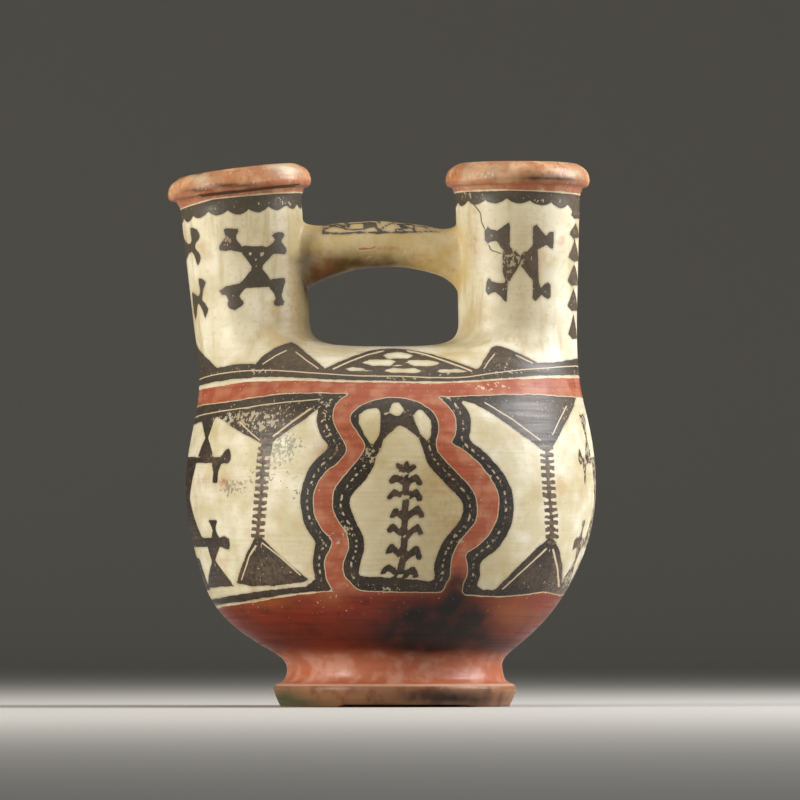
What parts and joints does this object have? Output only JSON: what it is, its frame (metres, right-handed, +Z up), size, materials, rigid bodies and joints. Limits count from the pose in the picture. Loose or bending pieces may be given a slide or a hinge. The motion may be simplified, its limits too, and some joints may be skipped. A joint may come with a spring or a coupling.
{
  "type": "double-necked jar",
  "caption": "Hollow clay jar on a flanged foot, its oval body parting into two open tubular necks with rolled lips, joined by a solid bar handle.",
  "frame": {"origin": "centre of the foot's flat underside, on the surface the jar stands on", "axes": "+Z up, +X from the leaning neck towards the upright neck, -Y towards the painted front"},
  "size_m": [0.2201, 0.188, 0.2784],
  "materials": {
    "painted_clay": "burnished cream slip with black and iron-red painted bands and figures"
  },
  "bodies": {
    "root": {"jar": "painted_clay"}
  },
  "joints": []
}
